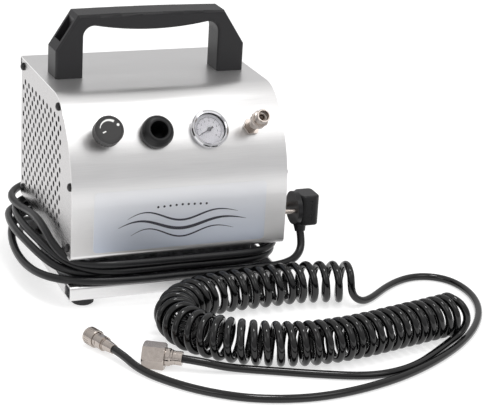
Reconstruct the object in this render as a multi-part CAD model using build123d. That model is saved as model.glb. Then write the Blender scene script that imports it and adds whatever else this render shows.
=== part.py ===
from build123d import *
from math import cos, sin, tan, radians, sqrt
import os

# A small tankless airbrush compressor: a bent sheet cover over a linear piston pump, with its
# mains lead wound round the groove of the base and its coiled air hose lying in front.
# Millimetres, +Z up, the resting surface is Z 0 and the controls face -Y.
# Everything is drawn with Y 0 on the cover's front face, and save() moves it so that the origin
# is the middle of the footprint of the bare compressor.

# ---- driving dimensions ----
WIDTH = 220.0
DEPTH = 200.0
ORIGIN_Y = 92.72         # from the cover's front face back to the origin
FOOT_H = 8.5
BASE_H = 15.0            # height of the tray's front channel
GROOVE_H = 26.0          # open band where the mains lead is wound
STRAIGHT_H = 54.0        # flat part of the front
FRONT_R = 112.0          # big curve of the front
LEAN = 50.0              # degrees that the big curve turns through
TOP_R = 46.0             # tighter curve into the flat top
SHEET = 1.5
PANEL_T = 1.2
HEM_R = 6.0              # rolled lower edge of the cover
GROOVE_D = 22.0          # how far the plinth stands in from the cover
CONTROL_LEAN = 34.7      # where the controls sit on the big curve, in degrees
KNOB_X, CUP_X, GAUGE_X, OUTLET_X = -75.0, -22.5, 31.5, 75.5
KNOB_D = 28.0
GAUGE_D = 38.0
CUP_D = 32.0
CUP_BORE = 17.4
HANDLE_L = 197.0
HANDLE_W = 32.0
HANDLE_H = 64.0
HANDLE_Y = 122.5
HOLE_D = 6.0             # perforations
HOLE_STEP = 7.07         # 45 degree stagger on a 10 mm pitch
CORD_D = 8.0
HOSE_D = 7.5
COIL_D = 42.0
STROKE = 6.0             # the piston goes this far to each side

# ---- heights and places that follow ----
TRAY_Z = FOOT_H
GROOVE_Z = TRAY_Z + BASE_H
COVER_Z = GROOVE_Z + GROOVE_H
CURVE_Z = COVER_Z + STRAIGHT_H
LEAN_Y = FRONT_R * (1 - cos(radians(LEAN)))
LEAN_Z = CURVE_Z + FRONT_R * sin(radians(LEAN))
FLAT_Y = LEAN_Y + TOP_R * cos(radians(LEAN))
TOP_Z = LEAN_Z + TOP_R * (1 - sin(radians(LEAN)))
CHASSIS_Z = COVER_Z + SHEET
FLOOR_Z = CHASSIS_Z + SHEET          # top of the chassis plate
HALF = WIDTH / 2
PANEL_X = HALF - 0.6 - PANEL_T       # inner face of a side panel

os.makedirs("parts", exist_ok=True)


def save(node, *shapes):
    """Write one node, moved to the part's own origin."""
    solids = [s for shape in shapes for s in shape.solids()]
    moved = [Pos(0, -ORIGIN_Y, 0) * s for s in solids]
    export_step(moved[0] if len(moved) == 1 else Compound(children=moved), f"parts/{node}.step")


def slab(x0, x1, y0, y1, z0, z1):
    return Pos((x0 + x1) / 2, (y0 + y1) / 2, (z0 + z1) / 2) * Box(x1 - x0, y1 - y0, z1 - z0)


def rod(radius, z0, z1):
    return Pos(0, 0, (z0 + z1) / 2) * Cylinder(radius, z1 - z0)


def ring(outer, inner, z0, z1):
    return rod(outer, z0, z1) - rod(inner, z0 - 1, z1 + 1)


def hexagon(flats, z0, z1):
    sides = RegularPolygon(flats / 2, 6, major_radius=False)
    return Pos(0, 0, z0) * extrude(sides, z1 - z0)


def turned(*points):
    """A solid turned about Z from the (radius, height) corners of half its section."""
    return revolve(Plane.XZ * make_face(Polyline(*points, points[0])), Axis.Z)


def control_plane(x):
    """The plane of a control on the front curve: its Z points straight out of the cover."""
    lean = radians(CONTROL_LEAN)
    y, z = FRONT_R * (1 - cos(lean)), CURVE_Z + FRONT_R * sin(lean)
    return Plane(origin=(x, y, z), x_dir=(1, 0, 0), z_dir=(0, -cos(lean), sin(lean)))


def along(start, direction):
    """A plane at start whose Z points along direction."""
    return Plane(origin=start, z_dir=direction)


# ---- sheet metal ----
def side_outline(inset, bottom, back):
    """The compressor's side view as a face in the YZ plane, drawn in by inset."""
    big, small = FRONT_R - inset, TOP_R - inset
    lean = radians(LEAN)
    mid = radians(LEAN / 2)
    half_top = radians((LEAN + 90) / 2)
    cy, cz = FRONT_R, CURVE_Z
    ty, tz = FLAT_Y, TOP_Z - TOP_R
    front = Line((inset, bottom), (inset, cz))
    curve = ThreePointArc((inset, cz), (cy - big * cos(mid), cz + big * sin(mid)),
                          (cy - big * cos(lean), cz + big * sin(lean)))
    corner = ThreePointArc(curve @ 1, (ty - small * cos(half_top), tz + small * sin(half_top)),
                           (ty, TOP_Z - inset))
    top = Line(corner @ 1, (back - inset, TOP_Z - inset))
    rest = Polyline(top @ 1, (back - inset, bottom), (inset, bottom))
    return Plane.YZ * make_face([front, curve, corner, top, rest])


def side_solid(inset, bottom, back, x0, x1):
    return Pos(x0, 0, 0) * extrude(side_outline(inset, bottom, back), x1 - x0)


def control_holes():
    """What the controls need cut in the cover."""
    cuts = [(KNOB_X, 5.2), (CUP_X, 13.2), (GAUGE_X, GAUGE_D / 2 - 1.9), (OUTLET_X, 5.1)]
    return [control_plane(x) * rod(r, -12, 8) for x, r in cuts]


HANDLE_SCREW_X = HANDLE_L / 2 - 12.5
SWITCH_X, SWITCH_Z = -62.0, 96.0
GLAND_X, GLAND_Z = 68.0, 66.0
REAR_SCREW_X = (-91.0, 91.0)
REAR_Y = DEPTH - SHEET - PANEL_T - 0.3     # inner face of the rear panel


def cover_shell():
    body = side_solid(0, COVER_Z, DEPTH, -HALF, HALF)
    body = fillet(body.edges().filter_by(Axis.X).sort_by(Axis.Z)[0:2].sort_by(Axis.Y)[0], HEM_R)
    body = fillet(body.edges().filter_by(Axis.X).sort_by(Axis.Z)[-2:].sort_by(Axis.Y)[-1], 3)
    room = side_solid(SHEET, CHASSIS_Z, DEPTH, -HALF - 1, HALF + 1)
    room = fillet(room.edges().filter_by(Axis.X).sort_by(Axis.Z)[0:2].sort_by(Axis.Y)[0],
                  HEM_R - SHEET)
    body -= room
    body -= slab(-HALF - 1, HALF + 1, 13, DEPTH + 1, COVER_Z - 1, CHASSIS_Z + 1)
    body -= slab(-HALF - 1, HALF + 1, DEPTH - SHEET - 0.01, DEPTH + 1, COVER_Z - 1, TOP_Z - 14)
    for cut in control_holes():
        body -= cut
    for x in (-HANDLE_SCREW_X, HANDLE_SCREW_X):
        body -= Pos(x, HANDLE_Y, TOP_Z) * Cylinder(2.8, 10)
    return body


def perforations(x0, x1):
    """Round holes in staggered columns, left out where the front curve comes too near."""
    spots = []
    for column in range(21):
        y = 47 + column * HOLE_STEP
        for row in range(column % 2, 16, 2):
            z = 70.5 + row * HOLE_STEP
            from_centre = sqrt((FRONT_R - y) ** 2 + (z - CURVE_Z) ** 2)
            if z > CURVE_Z and y < LEAN_Y + 30 and from_centre > FRONT_R - 17:
                continue
            spots.append((y, z))
    holes = Sketch() + [Pos(y, z) * Circle(HOLE_D / 2) for y, z in spots]
    return Pos(x0, 0, 0) * extrude(Plane.YZ * holes, x1 - x0)


SCREW_SPOTS = [(13.0, 60.0), (8.5, 123.0), (54.0, 189.0), (189.0, 191.0), (186.0, 61.0)]


def side_panel(side):
    edge = SHEET + 0.1
    back = REAR_Y + edge - 0.1
    x0 = PANEL_X
    panel = side_solid(edge, CHASSIS_Z + 0.05, back, x0, x0 + PANEL_T)
    panel -= perforations(x0 - 1, x0 + PANEL_T + 1)
    panel -= slab(x0 - 1, x0 + PANEL_T + 1, 0, 3.4, CHASSIS_Z - 1, CHASSIS_Z + 2.8)
    for y, z in SCREW_SPOTS:
        panel -= Pos(x0, y, z) * Rot(0, 90, 0) * Cylinder(2.1, 10)
    return panel if side > 0 else mirror(panel, Plane.YZ)


def panel_screws():
    """Black pan head screws, threaded into the corner brackets."""
    out = []
    head = PANEL_X + PANEL_T
    for y, z in SCREW_SPOTS:
        shank = Pos(head, y, z) * Rot(0, 90, 0) * rod(1.95, -9, 0.5)
        top = Rot(0, 90, 0) * turned((0, 0), (4.1, 0), (4.1, 1.0), (3.4, 2.3), (1.8, 3.0), (0, 3.1))
        top -= Pos(3.2, 0, 0) * Box(2.4, 3.4, 0.9)
        top -= Pos(3.2, 0, 0) * Box(2.4, 0.9, 3.4)
        screw = shank + Pos(head, y, z) * top
        out += [screw, mirror(screw, Plane.YZ)]
    return out


def panel_brackets():
    """Small blocks behind each screw, fixed to the cover or to the chassis."""
    out = []
    for y, z in SCREW_SPOTS:
        block = slab(PANEL_X - 11, PANEL_X - 0.02, y - 6, y + 6, z - 6, z + 6)
        block -= Pos(PANEL_X, y, z) * Rot(0, 90, 0) * Cylinder(1.95, 40)
        block &= side_solid(SHEET + 0.05, FLOOR_Z, REAR_Y, -HALF, HALF)
        out += [block, mirror(block, Plane.YZ)]
    return out


def chassis_plate():
    plate = slab(-PANEL_X + 0.05, PANEL_X - 0.05, HEM_R + 0.2, REAR_Y - 0.05, CHASSIS_Z, FLOOR_Z)
    for i in range(7):
        plate -= Pos(-45 + 15 * i, 46, CHASSIS_Z) * extrude(SlotOverall(40, 6, rotation=90), 5)
    for x, y in MOUNT_SPOTS:
        plate -= Pos(x, y, CHASSIS_Z) * Cylinder(2.3, 10)
    return plate


def rear_panel():
    y1 = REAR_Y + PANEL_T
    panel = slab(-PANEL_X + 0.05, PANEL_X - 0.05, REAR_Y, y1, COVER_Z, TOP_Z - SHEET - 0.1)
    for side in (-1, 1):
        for i in range(9):
            slot = Plane.XZ * (Pos(side * 48, 182 - 7.5 * i) * SlotOverall(52, 3.4))
            if side > 0 or i < 7:
                panel -= Pos(0, y1 + 2, 0) * extrude(slot, 6)
    panel -= slab(SWITCH_X - 9.7, SWITCH_X + 9.7, REAR_Y - 2, y1 + 2, SWITCH_Z - 6.3, SWITCH_Z + 6.3)
    panel -= Pos(GLAND_X, REAR_Y, GLAND_Z) * Rot(90, 0, 0) * Cylinder(6.1, 12)
    for x in REAR_SCREW_X:
        for z in (64, 178):
            panel -= Pos(x, REAR_Y, z) * Rot(90, 0, 0) * Cylinder(2.1, 10)
    return panel


def rear_screws():
    out = []
    y1 = REAR_Y + PANEL_T
    for x in REAR_SCREW_X:
        for z in (64, 178):
            pan = turned((0, -8), (1.95, -8), (1.95, 0), (3.6, 0), (3.6, 0.9), (2.6, 2.0), (0, 2.3))
            pan -= Pos(0, 0, 2.2) * Box(3.0, 0.8, 1.8)
            out.append(Pos(x, y1, z) * Rot(-90, 0, 0) * pan)
    return out


def plinth_wall():
    """A slotted box that carries the body and forms the back of the winding groove."""
    outer = RectangleRounded(WIDTH - 2 * GROOVE_D, DEPTH - 2 * GROOVE_D, 12)
    inner = RectangleRounded(WIDTH - 2 * GROOVE_D - 2 * SHEET, DEPTH - 2 * GROOVE_D - 2 * SHEET,
                             12 - SHEET)
    z0 = TRAY_Z + SHEET
    wall = Pos(0, DEPTH / 2, z0) * extrude(outer - inner, CHASSIS_Z - z0)
    slot = Rot(0, 90, 0) * extrude(SlotOverall(20, 5), WIDTH)
    for i in range(11):
        wall -= Pos(-HALF, DEPTH / 2 + (i - 5) * 11, (z0 + CHASSIS_Z) / 2 + 4) * slot
    return wall


def base_tray():
    """Folded tray: flat bottom, a C channel across the front and the back, and low side walls."""
    def channel():
        lip = slab(-HALF, HALF, 0, 15, TRAY_Z, GROOVE_Z)
        lip = fillet(lip.edges().filter_by(Axis.X).filter_by_position(Axis.Y, -0.1, 0.1), 3)
        core = slab(-HALF - 1, HALF + 1, SHEET, 16, TRAY_Z + SHEET, GROOVE_Z - SHEET)
        core = fillet(core.edges().filter_by(Axis.X).sort_by(Axis.Y)[0:2], 1.5)
        return lip - core
    bottom = slab(-HALF, HALF, 14, DEPTH - 14, TRAY_Z, TRAY_Z + SHEET)
    front = channel()
    rear = Pos(0, DEPTH, 0) * Rot(0, 0, 180) * channel()
    walls = [slab(s * HALF - (s > 0) * SHEET, s * HALF + (s < 0) * SHEET, 19, DEPTH - 19,
                  TRAY_Z, GROOVE_Z - 3) for s in (-1, 1)]
    tray = bottom + front + rear + walls
    for i in range(5):
        for j in range(4):
            tray -= Pos(-40 + 20 * i, 70 + 20 * j, TRAY_Z) * Cylinder(4, 8)
    for x, y in FOOT_SPOTS:
        tray -= Pos(x, y, TRAY_Z) * Cylinder(2.3, 8)
    return tray


FOOT_SPOTS = [(x, y) for x in (-92.5, 92.5) for y in (17.5, DEPTH - 17.5)]
MOUNT_SPOTS = [(x, y) for x in (-52, 32) for y in (84, 136)]


def rubber_feet():
    foot = turned((2.4, 3.0), (5.2, 3.0), (5.2, 0), (9.6, 0), (11, 1.2), (11.2, 6.5), (10.6, 8.5),
                  (2.4, 8.5))
    return [Pos(x, y, 0) * foot for x, y in FOOT_SPOTS]


def foot_screws():
    screw = turned((0, 1.2), (3.4, 1.2), (4.4, 2.2), (4.4, 3.0), (2.25, 3.0), (2.25, 16), (0, 16))
    screw -= Pos(0, 0, 1.2) * Box(5, 1, 1.6)
    nut = Pos(0, 0, 0) * (hexagon(8, TRAY_Z + SHEET, TRAY_Z + SHEET + 3.2) - rod(2.25, 0, 20))
    return [Pos(x, y, 0) * s for x, y in FOOT_SPOTS for s in (screw, nut)]


def label_plate():
    """A plain foil plate bent with the front of the cover."""
    foil = side_solid(-0.3, COVER_Z, DEPTH, -HALF, HALF) - side_solid(-0.01, 0, DEPTH, -HALF, HALF)
    return foil & Pos(0, 5, 87.5) * Rot(90, 0, 0) * extrude(RectangleRounded(176, 61, 4), 9, both=True)


def carry_handle():
    """A moulded bridge: two legs, chamfered shoulders with a screw well, and a swelling grip."""
    a, h = HANDLE_L / 2, HANDLE_H
    leg, shoulder = 28.0, 22.5
    outline = Polyline((-a, 0), (-a, 28.0), (-a + shoulder, h - 0.8))
    crown = ThreePointArc(outline @ 1, (0, h), (a - shoulder, h - 0.8))
    right = Polyline(crown @ 1, (a, 28.0), (a, 0), (a - leg, 0), (a - leg, 54.5))
    belly = ThreePointArc(right @ 1, (0, 46.6), (-a + leg, 54.5))
    close = Polyline(belly @ 1, (-a + leg, 0), (-a, 0))
    face = make_face([outline, crown, right, belly, close])
    body = Pos(0, HANDLE_Y + HANDLE_W / 2, TOP_Z) * extrude(Plane.XZ * face, HANDLE_W)
    corners = [e for e in body.edges().filter_by(Axis.Y)
               if abs(abs(e.center().X) - a + leg) < 0.1 and e.center().Z > TOP_Z + 40]
    body = fillet(corners, 11)
    long_edges = [e for e in body.edges().filter_by(Axis.Y, reverse=True)
                  if e.center().Z > TOP_Z + 0.5]
    body = fillet(long_edges, 3.2)
    for s in (-1, 1):
        x = s * HANDLE_SCREW_X
        body -= slab(x - 7, x + 7, HANDLE_Y - 9.5, HANDLE_Y + 9.5, TOP_Z + 7, TOP_Z + h + 5)
        body -= Pos(x, HANDLE_Y, TOP_Z) * Cylinder(2.8, 30)
    return body


def handle_screws():
    out = []
    screw = turned((0, -12), (2.5, -12), (2.5, 7), (4.6, 7), (4.6, 12), (0, 12))
    screw -= hexagon(4, 9, 13)
    nut = hexagon(8, -SHEET - 4, -SHEET) - rod(2.5, -20, 5)
    for s in (-1, 1):
        out += [Pos(s * HANDLE_SCREW_X, HANDLE_Y, TOP_Z) * p for p in (screw, nut)]
    return out


# ---- controls on the front curve ----
def regulator_parts():
    plane = control_plane(KNOB_X)
    body = rod(12, -44, -3) + hexagon(20, -3 - 9, -3)
    body += Pos(0, 14, -30) * Rot(90, 0, 0) * Cylinder(5.5, 12)
    body += Pos(0, -14, -30) * Rot(90, 0, 0) * Cylinder(5.5, 12)
    body += rod(5, -3, 4.5)
    body -= rod(3.55, -20, 6)
    nut = hexagon(14, 0.4, 3.6) + rod(6.4, 3.6, 11.2) - rod(5, -1, 4.7) - rod(3.7, 4, 12)
    spindle = rod(3.5, -18, 18.5)
    r = KNOB_D / 2
    knob = turned((0, 18.5), (3.5, 18.5), (3.5, 13), (11.5, 13), (11.5, 11.8), (r - 0.3, 11.8),
                  (r, 12.6), (r, 23.6), (r - 0.9, 24.6), (r - 1.9, 24.6), (r - 2.5, 24.1), (0, 24.1))
    groove = Pos(r + 0.55, 0, 0) * rod(1.0, 14.2, 30)
    for i in range(30):
        knob -= Rot(0, 0, 12 * i) * groove
    knob += turned((r - 1.3, 21.6), (r, 21.6), (r, 23.6), (r - 0.9, 24.6), (r - 1.3, 24.6))
    return [plane * p for p in (body, nut, spindle, knob)]


def holder_parts():
    """The rubber cup that a resting airbrush stands in, and the ring that holds it."""
    plane = control_plane(CUP_X)
    r, b = CUP_D / 2, CUP_BORE / 2
    cup = turned((b - 1.2, -28), (b + 1.2, -28), (13, -8), (13, 1.4), (r - 0.5, 1.4), (r, 2.4),
                 (r, 7.0), (r - 0.5, 9.0), (r - 1.6, 11.4), (r - 3.4, 13.2), (r - 5.2, 14.0),
                 (b + 1.0, 14.0), (b, 13.2))
    clip = ring(17, 13.05, -6.5, -4.0)
    return [plane * p for p in (cup, clip)]


def gauge_parts():
    plane = control_plane(GAUGE_X)
    r = GAUGE_D / 2
    case = turned((3.5, -24), (r - 2.2, -24), (r - 2.2, 1.6), (r - 3.4, 1.6), (r - 3.4, -21.5),
                  (3.5, -21.5))
    bezel = turned((r - 2.1, 1.3), (r - 1.2, 1.0), (r - 0.2, 1.3), (r, 2.4), (r, 5.2), (r - 0.9, 6.8),
                   (r - 2.2, 7.2), (r - 3.3, 6.4), (r - 3.3, 5.4), (r - 2.1, 5.2))
    dial = rod(r - 3.4, 0.4, 1.2) - rod(0.9, -1, 3)
    needle = rod(0.8, -3, 2.9) + rod(1.9, 2.1, 3.1)
    blade = Polyline((-4.6, -1.1), (-4.6, 1.1), (-1, 0.55), (12.2, 0.2), (12.2, -0.2), (-1, -0.55),
                     (-4.6, -1.1))
    needle += Rot(0, 0, NEEDLE_ZERO) * Pos(0, 0, 2.2) * extrude(make_face(blade), 0.5)
    lens = rod(r - 2.15, 4.0, 5.15)
    stem = ring(5, 1.8, -36, -24) + hexagon(12, -30, -24.0) - rod(1.8, -40, -20)
    clamp = slab(-25, 25, -5, 5, -27.6, -26)
    clamp += slab(-25, -23.4, -5, 5, -27.6, -1.9) + slab(23.4, 25, -5, 5, -27.6, -1.9)
    clamp -= rod(7.1, -40, -20)
    return [plane * p for p in (case, bezel, dial, needle, lens, stem, clamp)]


NEEDLE_ZERO = 207.0      # degrees round from the dial's right hand side


def outlet_parts():
    plane = control_plane(OUTLET_X)
    fitting = turned((1.8, -26), (4.9, -26), (4.9, 4.4), (4.9, 12.2), (5.7, 12.6), (5.7, 14.2),
                     (4.9, 14.6), (5.8, 15.2), (5.8, 17.0), (4.4, 17.4), (4.4, 31), (3.4, 31),
                     (3.4, 28), (1.8, 26.4))
    nut = hexagon(15, 0.4, 4.4) - rod(4.9, -1, 8)
    back_nut = hexagon(15, -6.6, -2.4) - rod(4.9, -20, 8)
    collar = turned((4.45, 20.4), (5.6, 20.4), (5.6, 22.2), (8.6, 22.6), (8.8, 23.2), (8.8, 26.2),
                    (8.4, 26.8), (6.7, 27.2), (6.7, 37.4), (6.2, 38.2), (5.3, 38.2), (5.3, 31.5),
                    (4.45, 31.0))
    for i in range(6):
        collar -= Rot(0, 0, 60 * i) * Pos(11.1, 0, 24.5) * Box(6, 5.4, 6)
    return [plane * p for p in (fitting, nut, back_nut, collar)]


# ---- linear piston pump on the chassis plate ----
PUMP_Y, PUMP_Z = 110.0, 106.0


def lying(shape):
    """Turn a part drawn about Z to lie along X on the pump's axis."""
    return Pos(0, PUMP_Y, PUMP_Z) * Rot(0, 90, 0) * shape


def pump_frame():
    base = slab(-64, 44, PUMP_Y - 36, PUMP_Y + 36, 67, 72)
    left = slab(-64, -58, PUMP_Y - 26, PUMP_Y + 26, 72, 134)
    right = slab(38, 44, PUMP_Y - 26, PUMP_Y + 26, 72, 134)
    frame = base + left + right
    frame -= lying(rod(4.05, -70, 90))
    for x, y in MOUNT_SPOTS:
        frame -= Pos(x, y, 70) * Cylinder(2.3, 20)
    return frame


def coil_cores():
    out = []
    for s in (-1, 1):
        core = slab(-38, 18, 15.5, 33, 76, 132)
        core -= slab(-26, -17, 14, 26, 75, 133)
        core -= slab(-3, 6, 14, 26, 75, 133)
        core = Pos(0, PUMP_Y, 0) * core
        feet = Pos(0, PUMP_Y, 0) * slab(-38, 18, 27, 33, 72, 76)
        part = core + feet
        out.append(part if s > 0 else mirror(part, Plane.XZ.offset(-PUMP_Y)))
    return out


def pump_coils():
    """One winding round the middle limb of each core."""
    out = []
    for s in (-1, 1):
        coil = slab(-25.8, 5.8, 16.5, 25.8, 72.6, 135.4)
        coil -= slab(-17.1, -2.9, 10, 30, 75.9, 132.1)
        coil = Pos(0, PUMP_Y, 0) * coil
        out.append(coil if s > 0 else mirror(coil, Plane.XZ.offset(-PUMP_Y)))
    return out


def piston():
    """Magnet block, rod and piston head: one moving piece."""
    block = slab(-30, 10, -13, 13, -22, 22)
    block = Pos(0, PUMP_Y, PUMP_Z) * block
    shaft = lying(rod(4.0, -68, 58))
    head = lying(turned((0, 56), (13.9, 56), (13.9, 59), (12.6, 59), (12.6, 62), (13.9, 62),
                        (13.9, 66), (0, 66)))
    return block + shaft + head


def piston_ring():
    return lying(ring(13.95, 12.6, 59.1, 61.9))


def springs():
    """Plain sleeves in the place of the two return springs."""
    return [lying(ring(11, 8.6, -57.9, -30.1)), lying(ring(11, 8.6, 10.1, 37.9))]


def pump_cylinder():
    body = ring(17.5, 14.0, 44.05, 78)
    for i in range(5):
        body += ring(22, 17, 49 + 6 * i, 51.2 + 6 * i)
    return lying(body)


def cylinder_head():
    block = slab(78.05, 94, PUMP_Y - 23, PUMP_Y + 23, PUMP_Z - 23, PUMP_Z + 23)
    block -= lying(rod(9, 70, 82))
    block = fillet(block.edges().filter_by(Axis.X).group_by(Axis.Z)[0], 3)
    block -= Pos(88, PUMP_Y - 10, PUMP_Z + 20) * Cylinder(3.0, 14)
    block -= Pos(88, PUMP_Y + 10, PUMP_Z + 20) * Cylinder(3.0, 14)
    for y in (-17.5, 17.5):
        for z in (-17.5, 17.5):
            block -= Pos(86, PUMP_Y + y, PUMP_Z + z) * Rot(0, 90, 0) * Cylinder(2.05, 30)
    return block


def head_screws():
    out = []
    for y in (-17.5, 17.5):
        for z in (-17.5, 17.5):
            cap = turned((0, 0), (2.0, 0), (2.0, 16), (3.6, 16), (3.6, 20), (0, 20)) - hexagon(3, 17, 21)
            out.append(Pos(78.1, PUMP_Y + y, PUMP_Z + z) * Rot(0, 90, 0) * cap)
    return out


def intake_filter():
    body = turned((0, 0), (3.0, 0), (3.0, 8), (13, 9), (13, 34), (11, 36), (0, 36))
    for i in range(12):
        body -= Rot(0, 0, 30 * i) * Pos(13, 0, 22) * Box(2, 3, 18)
    return Pos(88, PUMP_Y + 10, PUMP_Z + 18) * body


def rubber_mounts():
    mount = turned((2.2, 0), (7.5, 0), (5.6, 7), (7.5, 67 - FLOOR_Z), (2.2, 67 - FLOOR_Z))
    return [Pos(x, y, FLOOR_Z) * mount for x, y in MOUNT_SPOTS]


def mount_screws():
    screw = turned((0, -6), (4.0, -6), (4.0, -SHEET), (2.15, -SHEET), (2.15, 72 - FLOOR_Z),
                   (4.2, 72 - FLOOR_Z), (4.2, 75.4 - FLOOR_Z), (0, 75.4 - FLOOR_Z))
    return [Pos(x, y, FLOOR_Z) * screw for x, y in MOUNT_SPOTS]


def air_manifold():
    """Junction block under the top that joins pump, regulator, gauge and outlet."""
    block = slab(-14, 14, 70, 88, 168, 186)
    for x in (-17, 17):
        block += Pos(x, 79, 177) * Rot(0, 90, 0) * Cylinder(3.6, 8)
    block += Pos(7, 79, 165) * Cylinder(3.6, 8)
    block += Pos(0, 90, 172) * Rot(90, 0, 0) * Cylinder(3.6, 4.1)
    block += slab(-10, 10, 84, 88, 186, TOP_Z - SHEET)
    return block


def corner_radii(points):
    """The largest arc that each corner's two runs allow."""
    spots = [Vector(*p) for p in points]
    radii = []
    for before, here, after in zip(spots, spots[1:], spots[2:]):
        shorter = min((here - before).length, (after - here).length)
        turn = radians((here - before).get_angle(after - here))
        radii.append(0.45 * shorter / tan(turn / 2))
    return radii


def tube(points, diameter):
    """A round tube on straight runs joined by tangent arcs."""
    path = FilletPolyline(*points, radius=corner_radii(points))
    start = Plane(origin=path @ 0, z_dir=path % 0)
    return sweep(start * Circle(diameter / 2), path=path)


def air_tubes():
    """Short lines inside the body: regulator, outlet, gauge and pump, each to the manifold."""
    x, y, z = control_plane(KNOB_X).from_local_coords((0, 20.05, -30))
    regulator = [(x, y, z), (x, y + 6.8, z + 9.9), (-60, 74, 178), (-40, 79.5, 177), (-21.05, 79, 177)]
    x, y, z = control_plane(OUTLET_X).from_local_coords((0, 0, -26.05))
    outlet = [(x, y, z), (x, y + 11.5, z - 8), (66, 68, 144), (52, 77, 153), (42, 79, 169),
              (33, 79.3, 177), (21.05, 79, 177)]
    x, y, z = control_plane(GAUGE_X).from_local_coords((0, 0, -36.05))
    gauge = [(x, y, z), (x, y + 9.5, z - 6.6), (24, 70, 136), (12, 78, 142), (7.3, 79, 152), (7, 79, 161)]
    pump = [(88, 100, 121), (88, 100, 141), (79, 98, 157), (58, 100, 168), (32, 107, 173),
            (10, 109.5, 172.5), (0.5, 102, 172), (0, 92.1, 172)]
    return [tube(route, 5.8) for route in (regulator, outlet, gauge, pump)]


# ---- electrical pieces ----
def rocker_frame():
    y1 = REAR_Y + PANEL_T
    rim = slab(SWITCH_X - 11, SWITCH_X + 11, y1, y1 + 2, SWITCH_Z - 7.5, SWITCH_Z + 7.5)
    rim = fillet(rim.edges().filter_by(Axis.Y), 1.5)
    rim += slab(SWITCH_X - 9.6, SWITCH_X + 9.6, y1 - 19, y1, SWITCH_Z - 6.2, SWITCH_Z + 6.2)
    rim -= slab(SWITCH_X - 8.2, SWITCH_X + 8.2, y1 - 10, y1 + 5, SWITCH_Z - 5.0, SWITCH_Z + 5.0)
    for x in (-6, 0, 6):
        rim += slab(SWITCH_X + x - 0.4, SWITCH_X + x + 0.4, y1 - 27, y1 - 19, SWITCH_Z - 2.4,
                    SWITCH_Z + 2.4)
    rim -= Pos(SWITCH_X, y1 - 4, SWITCH_Z) * Cylinder(1.25, 12.3)
    return rim


ROCKER_TILT = 9.0


def rocker_button():
    """The rocker on its cross pin, resting with its left end pressed in."""
    outline = Polyline((-7.0, 0), (-7.0, 5.2), (0, 3.2), (7.0, 5.2), (7.0, 0), (0, -3.2), (-7.0, 0))
    body = extrude(make_face(outline), 4.6, both=True)
    body += Cylinder(1.2, 12)
    return Pos(SWITCH_X, REAR_Y + PANEL_T - 4, SWITCH_Z) * Rot(0, 0, -ROCKER_TILT) * body


def terminal_block():
    block = slab(50, 86, REAR_Y - 30, REAR_Y - 14, FLOOR_Z, FLOOR_Z + 17)
    for i in range(3):
        block -= Pos(58 + 10 * i, REAR_Y - 22, FLOOR_Z + 17) * Cylinder(3, 8)
    return block


def cord_gland():
    """Ribbed strain relief, tapering away from the rear panel."""
    y1 = REAR_Y + PANEL_T
    points = [(0, -8), (6.0, -8), (6.0, 0), (8.5, 0), (8.5, 3)]
    for i in range(5):
        z, r = 4 + 4.4 * i, 7.4 - 0.42 * i
        points += [(r, z), (r, z + 2.4), (r - 1.2, z + 2.7), (r - 1.2, z + 4.0)]
    points += [(5.0, 26), (0, 26)]
    return Pos(GLAND_X, y1, GLAND_Z) * Rot(-90, 0, 0) * turned(*points)


# ---- mains lead: three and a half turns round the groove, from the gland to the plug ----
GLAND_END = REAR_Y + PANEL_T + 26
LEAD_EXIT = (GLAND_X, GLAND_END, GLAND_Z)
LEAD_END = (136.8, 21.0, 52.4)
LEAD_ROUTE = [
    LEAD_EXIT, (68, 247, 65), (56, 265, 63), (32, 273, 61), (4, 268, 59), (-24, 250, 57.5),
    (-54, 231, 56.5), (-90, 219, 55), (-112, 206.5, 53.5), (-124, 185, 52.5), (-122, 156, 52.5),
    (-118.5, 128, 56), (-118, 98, 60.5), (-117.8, 68, 59.5), (-115.8, 40, 51), (-106, 15, 43.8),
    (-82, 1, 43.5),
    (-40, -1, 43.7), (2, 0, 43.3), (42, -1.5, 43.7), (80, -1, 43.5), (101, 11, 43.3),
    (113, 32, 43.3), (114.5, 80, 43), (112.5, 126, 43.6), (113, 171, 43.3), (101, 192, 43.4),
    (80, 204, 43.5), (38, 206, 43.4), (-6, 204.5, 43.8), (-48, 207, 44),
    (-88, 206, 44), (-109, 196, 44), (-121, 175, 44.5), (-126, 146, 46), (-127, 114, 47),
    (-124, 82, 47), (-119, 53, 45), (-111, 29, 41), (-94.5, 10.5, 37.5), (-71.5, 1, 35.5),
    (-32, 0.5, 35.4), (6, 1.5, 35.6), (44, 0.5, 35.3), (79, 1, 35.4), (99.6, 13, 35.2),
    (111.5, 34, 35), (113.5, 80, 34.8), (111.5, 126, 35.2), (112, 171, 35.3), (100, 191.6, 35.5),
    (79.5, 203.5, 35.6), (38, 205.5, 35.4), (-8, 204.5, 35.9), (-50, 206, 36),
    (-90, 207, 36), (-112.5, 199.5, 36.2), (-127, 180, 38), (-133, 150, 40), (-134.5, 116, 41),
    (-131.5, 84, 41), (-126, 53, 38.5), (-116, 27, 34.5), (-98, 11, 32), (-72, 8.5, 31),
    (-32, 9.5, 31.1), (6, 8.8, 30.9), (44, 10, 31), (78, 10, 30.5), (99, 20, 28.5),
    (111, 40, 27.6), (112.8, 84, 27.4), (111, 128, 27.2), (112, 172, 27.2), (101.5, 193, 27.8),
    (81, 205, 27.8), (40, 207, 27.6), (-6, 205.5, 28), (-50, 207, 28.3),
    (-90, 207, 28.4), (-113, 193, 28), (-127, 166, 25.5), (-134, 134, 23), (-137, 102, 22),
    (-136, 70, 22), (-131, 40, 24.5), (-119, 16, 27.2), (-100, 3.2, 28.2), (-72, -3, 28),
    (-34, -4.5, 27.8), (6, -3.2, 27.9), (46, -5, 27.8), (80, -4.5, 28), (103, -4, 28),
    (121, 1, 29.5), (132, 8.5, 34), (137, 15.5, 42), LEAD_END]

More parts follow.
